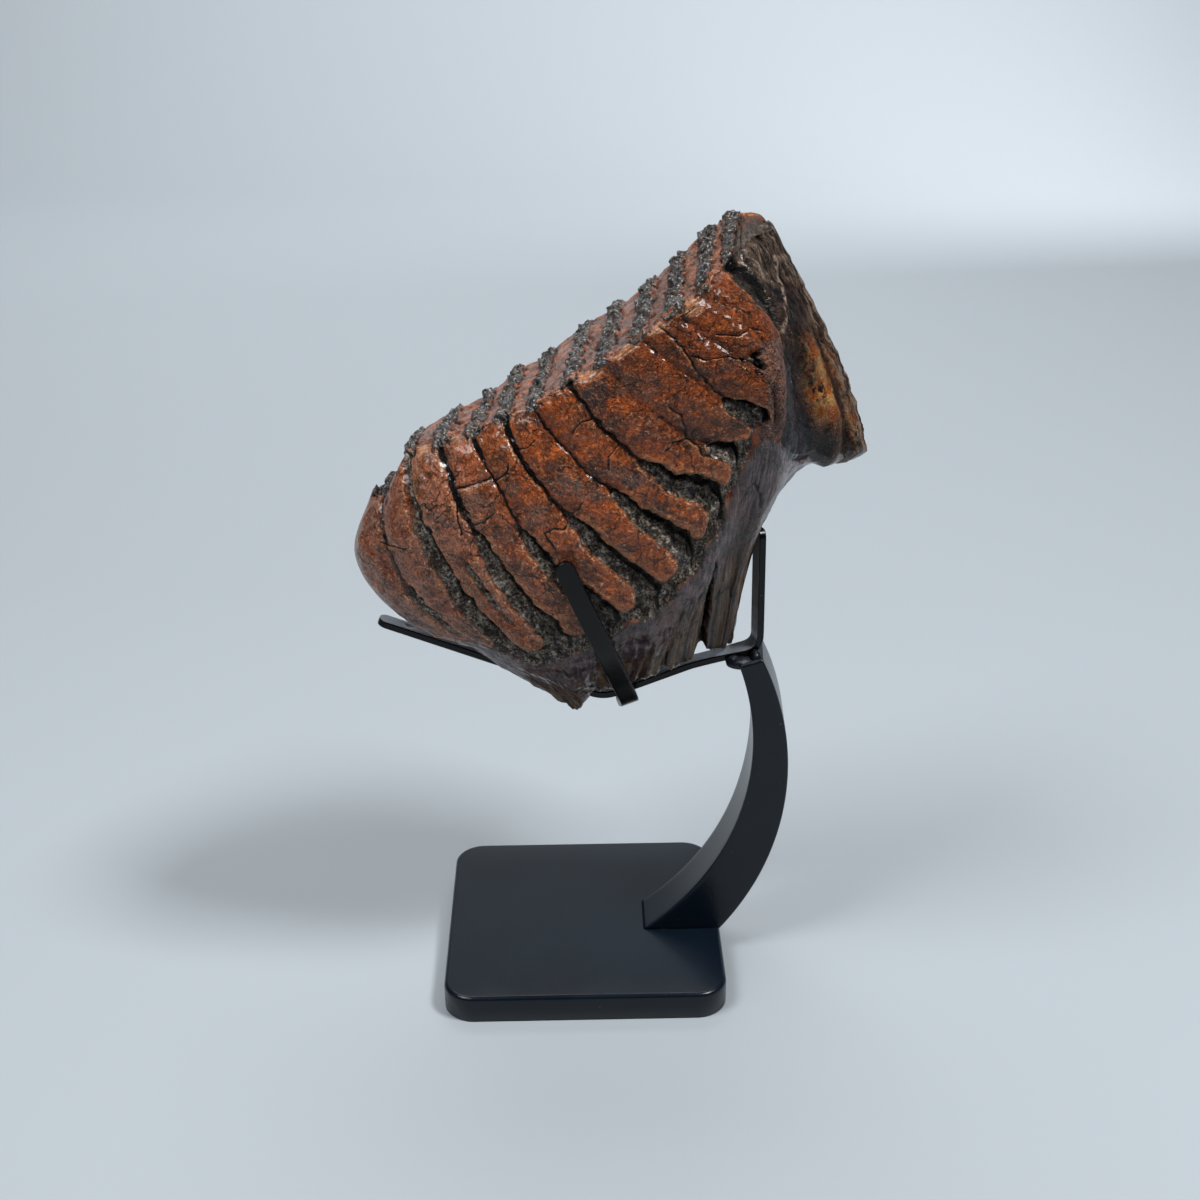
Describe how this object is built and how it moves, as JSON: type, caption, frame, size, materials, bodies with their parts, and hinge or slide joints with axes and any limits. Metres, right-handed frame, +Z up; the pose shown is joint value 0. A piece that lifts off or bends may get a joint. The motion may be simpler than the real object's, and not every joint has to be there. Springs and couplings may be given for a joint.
{
  "type": "fossil mammoth molar on display stand",
  "caption": "Large fossil mammoth molar with ridged chewing surface and grooved sides, resting in a bent black steel cradle on a curved arm and a square base plate.",
  "frame": {"origin": "centre of the base plate's underside", "axes": "+Z up, +X towards the arm's side and the tooth's tall end, -Y towards the side the tooth is shown from"},
  "size_m": [0.1726, 0.1, 0.2649],
  "materials": {
    "fossil": "varnished reddish-brown fossil cementum with dark grey enamel ridges and gritty grooves",
    "black_steel": "satin black paint on steel"
  },
  "bodies": {
    "root": {"tooth": "fossil", "base_plate": "black_steel", "arm": "black_steel", "cradle_spine": "black_steel", "cradle_cross_strip": "black_steel"}
  },
  "joints": []
}
